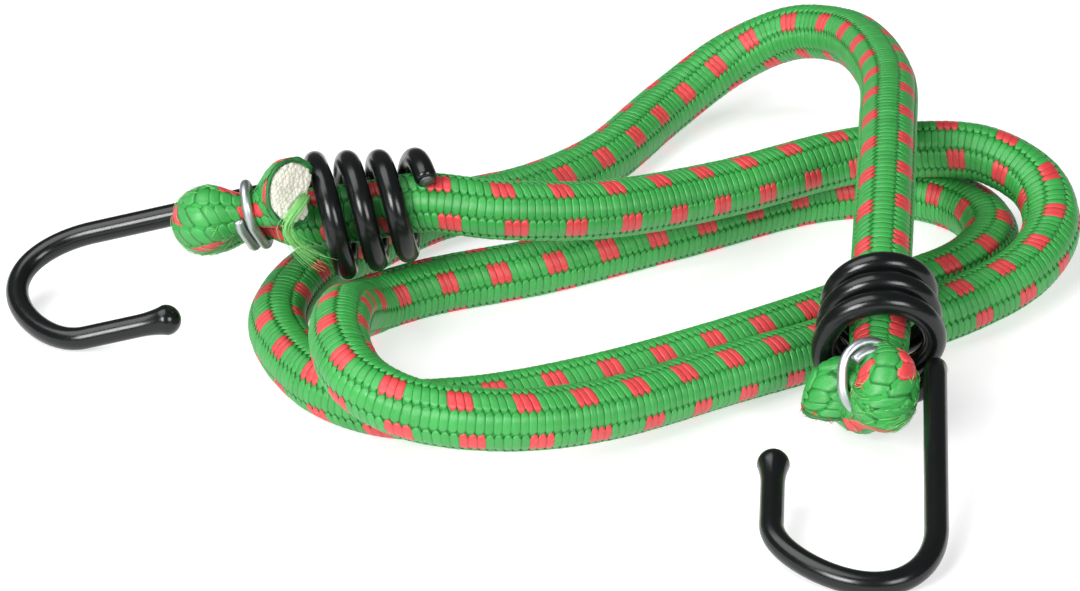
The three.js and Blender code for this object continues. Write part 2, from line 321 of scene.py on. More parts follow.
def ring_faces(rings, sides):
    """Quads between rings of vertices, wound so that they face outwards, with a fan on each end.

    The fans' middle vertices come after the rings, first the start's and then the end's.
    """
    ring = np.arange(rings - 1)[:, None] * sides
    here = np.arange(sides)[None]
    after = (here + 1) % sides
    quads = np.stack([ring + here, ring + after, ring + sides + after, ring + sides + here], axis=-1)
    start, end, last = rings * sides, rings * sides + 1, (rings - 1) * sides
    fans = [[start, int(b), int(a)] for a, b in zip(here[0], after[0])]
    fans += [[end, int(last + a), int(last + b)] for a, b in zip(here[0], after[0])]
    return quads.reshape(-1, 4).tolist() + fans


def loop_faces(rings, sides):
    """Quads over a grid that closes on itself both ways."""
    ring, here = np.meshgrid(np.arange(rings), np.arange(sides), indexing="ij")
    after, beside = (ring + 1) % rings, (here + 1) % sides
    quads = [ring * sides + here, ring * sides + beside, after * sides + beside, after * sides + here]
    return np.stack(quads, axis=-1).reshape(-1, 4).tolist()


def copies(faces, count, step):
    """The same faces for each of many like shapes, whose vertices follow one another."""
    return [[corner + step * copy for corner in face] for copy in range(count) for face in faces]


def sweep(path, radius, sides):
    """A round bar along a path, with a ring round each of its points.

    The ring is centre + radius (cos angle side + sin angle other).
    """
    side, other = carried_frames(path)
    angle = round_angles(sides)[None, :, None]
    radius = np.broadcast_to(radius, len(path))[:, None, None]
    rings = path[:, None] + radius * (np.cos(angle) * side[:, None] + np.sin(angle) * other[:, None])
    points = np.concatenate([rings.reshape(-1, 3), path[:1], path[-1:]])
    return points, ring_faces(len(path), sides)


def make_piece(name, points, faces, material, body, values=None, uv=None, smooth=True):
    """A mesh object in place, riding on a body. Values are numbers kept on its vertices, and smooth says
    which faces are shaded smoothly."""
    mesh = bpy.data.meshes.new(name)
    mesh.from_pydata(np.asarray(points).tolist(), [], faces)
    mesh.polygons.foreach_set("use_smooth", np.broadcast_to(smooth, len(mesh.polygons)).tolist())
    for key, numbers in (values or {}).items():
        attribute = mesh.attributes.new(key, "FLOAT", "POINT")
        attribute.data.foreach_set("value", np.asarray(numbers, np.float32).ravel())
    if uv is not None:
        corners = np.zeros(len(mesh.loops), np.int32)
        mesh.loops.foreach_get("vertex_index", corners)
        layer = mesh.uv_layers.new(name="UVMap")
        layer.data.foreach_set("uv", np.asarray(uv, np.float32).reshape(-1, 2)[corners].ravel())
    mesh.materials.append(material)
    mesh.update()
    piece = bpy.data.objects.new(name, mesh)
    bpy.context.scene.collection.objects.link(piece)
    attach(piece, body)
    return piece


class EndFrame:
    """Directions at one end of the cord: out along the coil, side towards the shank, up square to both,
    fold towards the cord's tail, and across it."""

    def __init__(self, name):
        end = ENDS[name]
        joint = JOINTS[end["joint"]]
        self.name = name
        self.seat = np.array(joint["pos_m"], float)
        self.out = unit(np.array(joint["axis"], float))
        self.low_limit = np.radians(joint["range_deg"][0])
        self.side = self.square(end["shank_side"])
        self.up = np.cross(self.out, self.side)
        self.fold = self.square(end["fold_side"])
        self.across = np.cross(self.out, self.fold)
        self.basis = np.array([self.out, self.fold, self.across])
        self.fold_points = self.place(end["fold"])
        self.fold_length = lengths(self.fold_points)[-1]
        self.crown = self.fold_points[np.argmax(np.array(end["fold"])[:, 0])]
        self.tie_middle = self.place(end["tie_middle"])
        self.tie_axis = unit(np.array(end["tie_axis"])) @ self.basis
        self.tie_span = unit(np.array(end["tie_span"])) @ self.basis
        self.tie_depth = np.cross(self.tie_axis, self.tie_span)
        for key in PLAIN_KEYS:
            setattr(self, key, end[key])

    def square(self, direction):
        direction = np.array(direction, float)
        return unit(direction - self.out * (direction @ self.out))

    def place(self, steps):
        """Points from rows of distances outward, towards the fold and across it."""
        return self.seat + np.asarray(steps, float) @ self.basis


SKEW_TURN = 0.25  # the part of a turn over which the coil's skew sets in


def coil_skew(end, angle, turns, radius):
    """How far the coil's turns stand back at an angle round it: skew * radius * cos(angle - skew angle).

    It sets in smoothly over the first SKEW_TURN from where the wire leaves the coil.
    """
    share = np.clip(turns / SKEW_TURN, 0, 1)
    return end.skew * radius * np.cos(angle - end.skew_angle) * eased(share)


PATH_STEP = 0.00025  # between the points of the cord's centre line
TABLE_GAP = 0.0001  # the cord's least height over the table
SWELL_REACH = 0.005  # how far a fold's swelling goes from its crown
FLARE_REACH = 0.0025  # how far a tail's flare goes from its cut end
TAIL_LENGTH = 0.009  # the length of tail that lies against the coil
PRESS_SOFTNESS = 0.0002  # how softly it does
FADE = (0.009, 0.013)  # where the tie's pull starts to fade and ends, from the tie's axis


class CordShape:
    """The cord's centre line with an upright frame, and the soft shape round it."""

    def __init__(self):
        self.ends = [EndFrame("left"), EndFrame("right")]
        left, right = (end.fold_points for end in self.ends)
        self.path = curve_through(np.concatenate([left[::-1], np.array(ROUTE), right]), PATH_STEP)
        self.along = lengths(self.path)
        self.length = self.along[-1]
        self.ahead = unit(np.gradient(self.path, axis=0))
        self.up = unit(UP - self.ahead * self.ahead[:, 2:])
        self.side = np.cross(self.ahead, self.up)

    def at(self, table, along):
        return read_off(table, self.along, along)

    def points(self, along, angle, radius):
        """Surface points: centre + radius (cos angle up + sin angle side), pinched and laid on the table.

        Past either end of the cord the centre goes straight on.
        """
        beyond = along - np.clip(along, 0, self.length)
        up, side = self.at(self.up, along), self.at(self.side, along)
        spoke = np.cos(angle)[..., None] * up + np.sin(angle)[..., None] * side
        centre = self.at(self.path, along) + beyond[..., None] * self.at(self.ahead, along)
        inwards = (along, self.length - along)
        for end, inward in zip(self.ends, inwards):
            flare = end.flare * np.exp(-((np.maximum(inward, 0) / FLARE_REACH) ** 2))
            radius = radius * (1 + end.swell * self.crown_share(centre, end) + flare)
        places = centre + radius[..., None] * spoke
        for end, inward in zip(self.ends, inwards):
            places = self.pinched(places, end, inward)
            places = self.pressed(places, end, inward)
        places[..., 2] = np.maximum(places[..., 2], TABLE_GAP)
        return places

    def rings(self, along, radius, sides):
        """A ring of surface points at each distance along, with its own radius."""
        along, angle = np.meshgrid(along, round_angles(sides), indexing="ij")
        return self.points(along, angle, radius[:, None] + 0 * angle)

    def crown_share(self, centre, end):
        """One at the crown of an end's fold, falling off as exp(-(distance / SWELL_REACH)^2)."""
        return np.exp(-((np.linalg.norm(centre - end.crown, axis=-1) / SWELL_REACH) ** 2))

    def crown_shares(self, along):
        """The two folds' crown shares together, at distances along the cord."""
        centre = self.at(self.path, along)
        return sum(self.crown_share(centre, end) for end in self.ends)

    def pressed(self, places, end, inward):
        """The tail lies softly against the coil: it stays a gap off the coil's last turn when the hook is
        turned to its lower limit.

        At the angle a round from where the wire leaves the coil, the middle of that turn is
        pitch * a / full turn and the skew behind the seat. The push is
        softness * log(1 + exp(depth / softness)).
        """
        hook = settings("hook")
        offset = places - end.seat
        outward, x, y = offset @ end.out, offset @ end.side, offset @ end.up
        angle = end.low_limit - np.arctan2(y, x)
        turns = (angle - hook.coil_exit / hook.coil_radius) % FULL_TURN / FULL_TURN
        behind = hook.coil_pitch * turns + coil_skew(end, angle, turns, np.hypot(x, y))
        clear = 0.5 * hook.wire + end.coil_gap
        aside = np.abs(np.hypot(x, y) - hook.coil_radius)
        front = np.sqrt(np.maximum(clear**2 - aside**2, 0)) - np.maximum(aside - clear, 0) - behind
        push = PRESS_SOFTNESS * np.logaddexp(0, (front - outward) / PRESS_SOFTNESS)
        push = np.where(inward < TAIL_LENGTH, push, 0)
        return places + push[..., None] * end.out

    def pinched(self, places, end, inward):
        """The tie draws the fold in by the share pinch * exp(-(distance along its axis / reach)^2).

        The share fades out between the two distances FADE from the tie's axis, and the cord past its fold
        isn't drawn in.
        """
        reach = settings("tie").reach
        offset = places - end.tie_middle
        outward = offset @ end.tie_axis
        radial = offset - outward[..., None] * end.tie_axis
        fade = np.clip((FADE[1] - np.linalg.norm(radial, axis=-1)) / (FADE[1] - FADE[0]), 0, 1)
        share = end.pinch * np.exp(-((outward / reach) ** 2)) * eased(fade)
        share = np.where(inward < end.fold_length, share, 0)
        return places - radial * share[..., None]


def feed(tree, made, **inputs):
    """Set a shader node's inputs and properties by name, with an underscore for a space in an input's name.
    A socket given for an input is linked to it."""
    for key, value in inputs.items():
        name = key.replace("_", " ")
        if isinstance(value, bpy.types.NodeSocket):
            tree.links.new(value, made.inputs[name])
        elif name in made.inputs:
            made.inputs[name].default_value = value
        else:
            setattr(made, key, value)
    return made


def node(tree, kind, **inputs):
    return feed(tree, tree.nodes.new(kind), **inputs)


def new_material(name, color, roughness, metallic=0.0):
    material = bpy.data.materials.new(name)
    material.use_nodes = True
    tree = material.node_tree
    shader = tree.nodes["Principled BSDF"]
    feed(tree, shader, Base_Color=(*color, 1.0), Roughness=roughness, Metallic=metallic)
    return material, tree, shader


# The fibres' colour runs at random from dark to light. The light end, with its touch of white, is a painted
# sheen.
YARN_DARK = 0.62  # a yarn's darkest fibres, as a share of its colour
YARN_LIGHT = 1.25  # its lightest ones
YARN_PAINTED_SHEEN = 0.02  # the white in these
FIBRE_CONTRAST = 0.55  # how much the fibres vary, beside each float's own tint


def yarn_material(name, color):
    """Bright spun yarn: each float a little lighter or darker, with bumped fibres along it whose lighter
    streaks, tinged with white, are a painted sheen.
    """
    material, tree, shader = new_material(name, color, roughness=0.4)
    feed(tree, shader, Specular_IOR_Level=0.6, Anisotropic=0.6, Anisotropic_Rotation=0.25)
    tangent = node(tree, "ShaderNodeTangent", direction_type="UV_MAP", uv_map="UVMap")
    tint = node(tree, "ShaderNodeAttribute", attribute_name="tint")
    uv = node(tree, "ShaderNodeUVMap", uv_map="UVMap")
    stretch = node(tree, "ShaderNodeMapping", Vector=uv.outputs["UV"], Scale=(1.5, 9.0, 1.0))
    fibre = node(
        tree, "ShaderNodeTexNoise", Vector=stretch.outputs["Vector"], Scale=1.0, Detail=3.0, Roughness=0.6
    )
    blend = node(tree, "ShaderNodeMath", operation="MULTIPLY_ADD")
    blend.inputs[1].default_value = FIBRE_CONTRAST
    tree.links.new(fibre.outputs["Fac"], blend.inputs[0])
    tree.links.new(tint.outputs["Fac"], blend.inputs[2])
    # Painted sheen: the lightest fibres are lighter than the yarn's colour, with white added.
    dark = [YARN_DARK * c for c in color]
    light = [min(1.0, YARN_LIGHT * c + YARN_PAINTED_SHEEN) for c in color]
    shade = node(tree, "ShaderNodeMix", data_type="RGBA", A=(*dark, 1.0), B=(*light, 1.0))
    feed(tree, shade, Factor=blend.outputs["Value"])
    bump = node(tree, "ShaderNodeBump", Strength=0.35, Distance=0.0002, Height=fibre.outputs["Fac"])
    feed(tree, shader, Base_Color=shade.outputs["Result"], Normal=bump.outputs["Normal"])
    feed(tree, shader, Tangent=tangent.outputs["Tangent"])
    return material


PATCH_SCALE = 0.3  # the scale of a finish's mottle, as a share of its grain's
LEAST_ROUGHNESS = 0.05
GRAIN_SMOOTHER = 0.08  # how far the grain takes a finish's roughness down
GRAIN_ROUGHER = 0.1  # and up


def plain_material(name, color, roughness, metallic=0.0, grain=2500.0, depth=0.1, mottle=0.15):
    """A finish with fine uneven grain in its roughness and surface, and a wider mottle in its colour."""
    material, tree, shader = new_material(name, color, roughness, metallic)
    place = node(tree, "ShaderNodeTexCoord").outputs["Object"]
    noise = node(tree, "ShaderNodeTexNoise", Vector=place, Scale=grain, Detail=4.0, Roughness=0.6)
    patch = node(tree, "ShaderNodeTexNoise", Vector=place, Scale=PATCH_SCALE * grain, Detail=2.0)
    dark = [(1 - mottle) * c for c in color]
    light = [min(1.0, (1 + mottle) * c) for c in color]
    shade = node(tree, "ShaderNodeMix", data_type="RGBA", A=(*dark, 1.0), B=(*light, 1.0))
    feed(tree, shade, Factor=patch.outputs["Fac"])
    smoothest = max(LEAST_ROUGHNESS, roughness - GRAIN_SMOOTHER)
    spread = node(tree, "ShaderNodeMapRange", To_Min=smoothest, To_Max=roughness + GRAIN_ROUGHER)
    feed(tree, spread, Value=noise.outputs["Fac"])
    bump = node(tree, "ShaderNodeBump", Strength=depth, Distance=0.0001, Height=noise.outputs["Fac"])
    feed(tree, shader, Base_Color=shade.outputs["Result"], Roughness=spread.outputs["Result"])
    feed(tree, shader, Normal=bump.outputs["Normal"])
    return material


GROUND = 0.47  # the radius of the ground under the yarns, as a share of the cord's diameter
CROWN_FILL = 0.004  # what it gains on the crown of a fold
CROWN_FLATNESS = 0.85  # the share of their height that the yarns lose there
FLOAT_REACH = 1.4  # a float's length, as a share of a column's width
FLOAT_WIDTH = 0.58  # half a float's width, as a share of the pitch
LIFT_RANGE = (0.92, 1.08)  # how high a float stands
JITTER = 0.04  # how far it is out of place, as a share of the pitch
TINT_RANGE = (0.1, 0.3)  # how light it is
PATTERN_HOP = (3.1, 1.7)  # from float to float over the fibres' pattern

# One float of yarn on a unit grid: stations along it with their heights, and the outline of its section
# with heights and the sides of it that are its top. Past the last stations it runs to a point between two
# floats of the next column.
FLOAT_STATIONS = np.array((-0.44, -0.16, 0.16, 0.44))
FLOAT_HEIGHTS = np.array((0.92, 1.0, 1.0, 0.92))
TIP_HEIGHT = 0.35
SECTION_ACROSS = np.array((-1.0, -0.55, 0.0, 0.55, 1.0, 0.0))
SECTION_HEIGHT = np.array((0.7, 0.94, 1.0, 0.94, 0.7, -0.8))
FLOAT_TOP = np.array((True, True, True, True, False, False))


def braid_lay(along):
    """How far the braid is turned and has slipped at distances along the cord."""
    place, turned, slipped = np.array(LAY).T
    return np.interp(along, place, turned), np.interp(along, place, slipped)


def float_grid(shape, along, column, lean, lift):
    """Vertices of many floats at once.

    A float lies across the cord at its own distance along and its column's angle. Its place at (u, v) is
    angle = column + u * half span and along + v * half width + lean * u, and its height is the product of
    the station's and the section's heights.
    """
    cord = settings("cord")
    half_span = FLOAT_REACH * np.pi / cord.columns
    half_width = FLOAT_WIDTH * cord.float_pitch
    base = GROUND * cord.diameter
    rise = (0.5 - GROUND) * cord.diameter
    u = FLOAT_STATIONS[None, :, None]
    v = SECTION_ACROSS[None, None, :] + 0 * u
    high = SECTION_HEIGHT[None, None, :] * FLOAT_HEIGHTS[None, :, None]
    body_along = along[:, None, None] + v * half_width + lean[:, None, None] * u
    body_angle = np.broadcast_to(column[:, None, None] + u * half_span, body_along.shape)
    body_radius = base + rise * high * lift[:, None, None]
    tips = np.array((-1.0, 1.0))[None]
    tip_along = along[:, None] + lean[:, None] * tips
    tip_angle = column[:, None] + tips * half_span
    tip_radius = base + TIP_HEIGHT * rise * lift[:, None] + 0 * tip_along
    bodies = (body_along, body_angle, body_radius)
    all_along, all_angle, all_radius = (
        np.concatenate([body.reshape(len(along), -1), tip], axis=1)
        for body, tip in zip(bodies, (tip_along, tip_angle, tip_radius))
    )
    turned, slipped = braid_lay(along)
    all_angle = all_angle + turned[:, None]
    all_along = np.clip(all_along + slipped[:, None], 0, shape.length)
    return shape.points(all_along, all_angle, all_radius)


def make_yarns(name, shape, along, column, lean, material, rng):
    """A piece of many floats, each a little out of place and with its own tint, and flat on the crowns."""
    cord = settings("cord")
    count = len(along)
    lift = rng.uniform(*LIFT_RANGE, count)
    jitter = rng.uniform(-JITTER, JITTER, count) * cord.float_pitch
    lift = lift * (1 - CROWN_FLATNESS * shape.crown_shares(along + braid_lay(along)[1]))
    points = float_grid(shape, along + jitter, column, lean, lift)
    per_float = points.shape[1]
    faces = copies(ring_faces(len(FLOAT_STATIONS), len(SECTION_ACROSS)), count, per_float)
    tint = np.repeat(rng.uniform(*TINT_RANGE, count), per_float)
    u = np.concatenate([np.repeat(FLOAT_STATIONS, len(SECTION_ACROSS)), (-1, 1)])
    v = np.concatenate([np.tile(SECTION_ACROSS, len(FLOAT_STATIONS)), (0, 0)])
    own = np.repeat(np.arange(count), per_float)
    uv = np.stack([np.tile(grid, count) + hop * own for grid, hop in zip((u, v), PATTERN_HOP)], axis=1)
    smooth = np.tile(FLOAT_TOP, len(faces) // len(FLOAT_TOP))
    return make_piece(
        name, points.reshape(-1, 3), faces, material, "cord", {"tint": tint}, uv, smooth
    )


CUT_RADIUS = 0.0034  # the core's radius at a cut end
CUT_REACH = 0.002  # how far from a cut end it swells


def core_radius(shape, along):
    """The core's radius, which swells at each cut end as exp(-(distance from it / CUT_REACH)^2)."""
    cord = settings("cord")
    nearest = np.minimum(along, shape.length - along)
    swell = np.exp(-((nearest / CUT_REACH) ** 2))
    return 0.5 * cord.core_diameter + (CUT_RADIUS - 0.5 * cord.core_diameter) * swell


WHITE = (1.0, 1.0, 1.0, 1.0)
CAMERA_NEAR = 0.01
FLOOR_REACH = 4.0
WORLD_STRENGTH = 0.12

# The studio's lamps: name, place, width and length, and power. They all face one point.
LAMPS = (
    ("left_box", (-0.5, -0.75, 0.5), (0.4, 0.4), 11.0),
    ("right_box", (0.55, -0.75, 0.5), (0.4, 0.4), 5.5),
    ("top_box", (-0.45, 0.0, 0.9), (0.8, 0.8), 8.0),
)
LAMP_TARGET = (0.02, 0.04, 0.0)


class BUNGEE_OT_stage(bpy.types.Operator):
    """Make the camera, the floor and the soft studio light"""

    bl_idname = "bungee.stage"
    bl_label = "Stage"

    def execute(self, context):
        stage = settings("stage")
        scene = context.scene
        scene.view_settings.view_transform = "Standard"
        data = bpy.data.cameras.new("photo_camera")
        data.lens = stage.lens
        data.clip_start = CAMERA_NEAR
        scene.camera = self.aimed("photo_camera", data, scene, stage.camera, stage.target)
        self.make_floor(scene, stage)
        self.make_lights(scene)
        return {"FINISHED"}

    def aimed(self, name, data, scene, place, target):
        """A camera or lamp at a place, facing its target."""
        made = bpy.data.objects.new(name, data)
        scene.collection.objects.link(made)
        made.location = place
        gaze = Vector(target) - Vector(place)
        made.rotation_euler = gaze.to_track_quat("-Z", "Y").to_euler()
        return made

    def make_floor(self, scene, stage):
        mesh = bpy.data.meshes.new("floor")
        corners = [(FLOOR_REACH * x, FLOOR_REACH * y, 0) for x, y in ((-1, -1), (1, -1), (1, 1), (-1, 1))]
        mesh.from_pydata(corners, [], [(0, 1, 2, 3)])
        material, tree, shader = new_material("pale_floor", tuple(stage.floor), roughness=0.9)
        feed(tree, shader, Specular_IOR_Level=0.1, Emission_Color=WHITE, Emission_Strength=stage.glow)
        mesh.materials.append(material)
        floor = bpy.data.objects.new("floor", mesh)
        scene.collection.objects.link(floor)

    def make_lights(self, scene):
        world = bpy.data.worlds.new("studio")
        world.use_nodes = True
        tree = world.node_tree
        feed(tree, tree.nodes["Background"], Color=WHITE, Strength=WORLD_STRENGTH)
        scene.world = world
        for name, place, size, power in LAMPS:
            data = bpy.data.lights.new(name, "AREA")
            data.shape = "RECTANGLE"
            data.size, data.size_y = size
            data.energy = power
            self.aimed(name, data, scene, place, LAMP_TARGET)


GROUND_STEP = 0.001  # between the ground's rings, away from the folds
FOLD_REACH = 0.025  # the length at each end that has more rings
FOLD_RINGS = 64
GROUND_SIDES = 28
# Painted shade: the ground shows only in the gaps between the floats, so its colour is darker than the
# yarn's.
GROUND_PAINTED_SHADE = 0.9  # the ground's colour, as a share of the green yarn's
WALL_GAP = 0.0001  # between the core and the ground
CORE_STEP = 0.0012
CORE_SIDES = 24

# The domes on the core's ends: how far each ring stands out, and its share of the end's radius.
DOME_RISE = np.array((0.0, 0.00012, 0.0003, 0.0004))
DOME_SHARE = np.array((1.0, 0.93, 0.6, 0.25))

# The cut ends of the rubber threads. A stud's rings have widths as shares of the pitch, and levels from the
# top of the stud, which stands out by a height in a range.
THREAD_SEED = 11
THREAD_PITCH = 0.00055
ROW_PITCH = np.sqrt(0.75)  # between the rows of the hexagonal grid, as a share of the pitch
THREAD_MARGIN = 0.4  # from the outermost threads to the core's edge, as a share of the pitch
THREAD_JITTER = 0.15  # how far a thread is out of place, as a share of the pitch
STUD_SIDES = 6
STUD_WIDTHS = np.array((1.3, 1.3, 1.22))
STUD_LEVELS = np.array((-0.0004, 0.0, 0.00002))
STUD_HEIGHTS = (0.0004, 0.00045)

BRAID_SEED = 7
BRAID_EXCESS = 1.01  # rows are laid a little past the cord's end, and those past it are drawn back to it
BRAID_LEAN = np.radians(9)  # of every other column's floats


class BUNGEE_OT_cord(bpy.types.Operator):
    """Make the braided sheath, its yarns and the rubber core"""

    bl_idname = "bungee.cord"
    bl_label = "Cord"

    def execute(self, context):
        cord = settings("cord")
        shape = CordShape()
        sheath = self.make_sheath(shape, cord)
        self.make_core(shape, cord)
        self.make_braid(shape, cord)
        return {"FINISHED"}

    def make_sheath(self, shape, cord):
        """The ground under the yarns: a tube with an inner wall that follows the core, coloured darker than
        the green yarn as painted shade in the gaps between the floats.

        Its rings go along the outer wall and back along the inner one, and are closer on the two folds.
        """
        dense = np.linspace(0, FOLD_REACH, FOLD_RINGS, endpoint=False)
        middle = np.linspace(FOLD_REACH, shape.length - FOLD_REACH, int(shape.length / GROUND_STEP))
        along = np.concatenate([dense, middle, shape.length - dense[::-1]])
        outer = (GROUND + CROWN_FILL * shape.crown_shares(along)) * cord.diameter
        inner = core_radius(shape, along) + WALL_GAP
        there_and_back = np.concatenate([along, along[::-1]])
        walls = shape.rings(there_and_back, np.concatenate([outer, inner[::-1]]), GROUND_SIDES)
        faces = loop_faces(len(there_and_back), GROUND_SIDES)
        # Painted shade: the ground's green is darkened for the gaps between the floats.
        green = tuple(GROUND_PAINTED_SHADE * c for c in cord.green)
        ground = plain_material("braid_ground_painted_shade", green, roughness=0.8)
        sheath = make_piece("braid_ground_painted_shade", walls.reshape(-1, 3), faces, ground, "cord")
        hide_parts("braided_sheath")
        return sheath

    def make_core(self, shape, cord):
        """The rubber core: a round rod along the cord that swells at its cut ends, which are domed."""
        along = np.linspace(0, shape.length, int(shape.length / CORE_STEP))
        radius = core_radius(shape, along)
        along = np.concatenate([-DOME_RISE[:0:-1], along, shape.length + DOME_RISE[1:]])
        radius = np.concatenate([radius[0] * DOME_SHARE[:0:-1], radius, radius[-1] * DOME_SHARE[1:]])
        rod = shape.rings(along, radius, CORE_SIDES)
        caps = [rod[0].mean(axis=0), rod[-1].mean(axis=0)]
        points = np.concatenate([rod.reshape(-1, 3), np.array(caps)])
        faces = ring_faces(len(along), CORE_SIDES)
        rubber = plain_material(
            "latex_rubber", tuple(cord.cream), roughness=0.7, grain=1400.0, depth=0.3, mottle=0.2
        )
        core = make_piece("rubber_threads", points, faces, rubber, "cord")
        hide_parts("rubber_core")
        self.make_thread_ends(shape, rubber)

    def make_thread_ends(self, shape, rubber):
        """The cut ends of the rubber threads: six-sided studs on a hexagonal grid over each end of the core.

        A stud is a ring inside the core, one near its top and a smaller one on top, in the cord's distance,
        angle and radius.
        """
        rng = np.random.default_rng(THREAD_SEED)
        reach = int(CUT_RADIUS / THREAD_PITCH) + 2
        rows = np.arange(-reach, reach + 1)
        row, step = np.meshgrid(rows, rows, indexing="ij")
        x = (step + 0.5 * (row % 2)).ravel() * THREAD_PITCH
        y = row.ravel() * THREAD_PITCH * ROW_PITCH
        inside = np.hypot(x, y) < CUT_RADIUS - THREAD_MARGIN * THREAD_PITCH
        x, y = x[inside, None, None], y[inside, None, None]
        each = (len(x), 1, 1)
        x, y = (place + rng.uniform(-THREAD_JITTER, THREAD_JITTER, each) * THREAD_PITCH for place in (x, y))
        width = 0.5 * THREAD_PITCH * STUD_WIDTHS[None, :, None]
        top = STUD_LEVELS[None, :, None] + rng.uniform(*STUD_HEIGHTS, each)
        for name, turn, base in (("left", -1, 0.0), ("right", 1, shape.length)):
            angle = turn * round_angles(STUD_SIDES)[None, None]
            rings = np.stack([x + width * np.cos(angle), y + width * np.sin(angle)])
            middle = np.stack([x[:, 0, 0], y[:, 0, 0]])[..., None] + np.zeros(2)
            flat = np.concatenate([rings.reshape(2, len(x), -1), middle], axis=2)
            level = [np.repeat(top[:, :, 0], STUD_SIDES, axis=1), top[:, (0, -1), 0]]
            level = np.concatenate(level, axis=1)
            studs = shape.points(base + turn * level, np.arctan2(flat[1], flat[0]), np.hypot(*flat))
            faces = copies(ring_faces(len(STUD_WIDTHS), STUD_SIDES), len(x), studs.shape[1])
            make_piece(name + "_thread_ends", studs.reshape(-1, 3), faces, rubber, "cord")

    def make_braid(self, shape, cord):
        """The yarns' floats: columns round the cord, every other one half a pitch on, and those between
        leaning and with flecks of red."""
        rng = np.random.default_rng(BRAID_SEED)
        count = int(BRAID_EXCESS * shape.length / cord.float_pitch) + 1
        row = np.arange(count)
        lean = np.tan(BRAID_LEAN) * 0.5 * cord.diameter * FLOAT_REACH * np.pi / cord.columns
        green = yarn_material("green_yarn", tuple(cord.green))
        red = yarn_material("red_yarn", tuple(cord.red))
        groups = {"green_left": [], "green_right": [], "red": []}
        for column in range(cord.columns):
            odd = column % 2
            along = (row + 0.5 + 0.5 * odd) * cord.float_pitch
            angle = np.full(count, FULL_TURN * column / cord.columns)
            leans = np.full(count, 0.0 if odd else lean)
            is_red = (row - round(cord.repeat * column / cord.columns)) % cord.repeat < cord.fleck
            table = np.stack([along, angle, leans], axis=1)
            if odd:
                groups["green_left"].append(table)
            else:
                groups["green_right"].append(table[~is_red])
                groups["red"].append(table[is_red])
        for name, tables in groups.items():
            along, angle, leans = np.concatenate(tables).T
            make_yarns(name + "_yarns", shape, along, angle, leans, red if name == "red" else green, rng)


# Points on each part of a hook's line, before they are evened out.
HOOK_POINTS = {"coil": 160, "exit": 10, "shank": 20, "bend": 60, "tip": 16}
HOOK_STEP = 0.0006  # between the rings of the finished wire
SPRUNG_TURN = 0.4  # the part of a turn that springs away at the coil's cut end
COATING_SIDES = 24
CUT_EDGE = 0.86  # the coating's radius at the cut end, as a share of the wire's
DROP_RINGS = 9
DROP_START = 0.006  # from the tip to where the drop starts
DROP_TAPER = 0.004  # the length over which it grows
LEAST_SQUARE = 1e-12  # the drop's least squared radius
STEEL_SIDES = 12
STEEL_PROUD = 0.0001  # how far the steel stands out of the cut end
STEEL_SHORT = 4  # steps by which it stops short of the tip
STEEL_COLOR = (0.2, 0.2, 0.21)


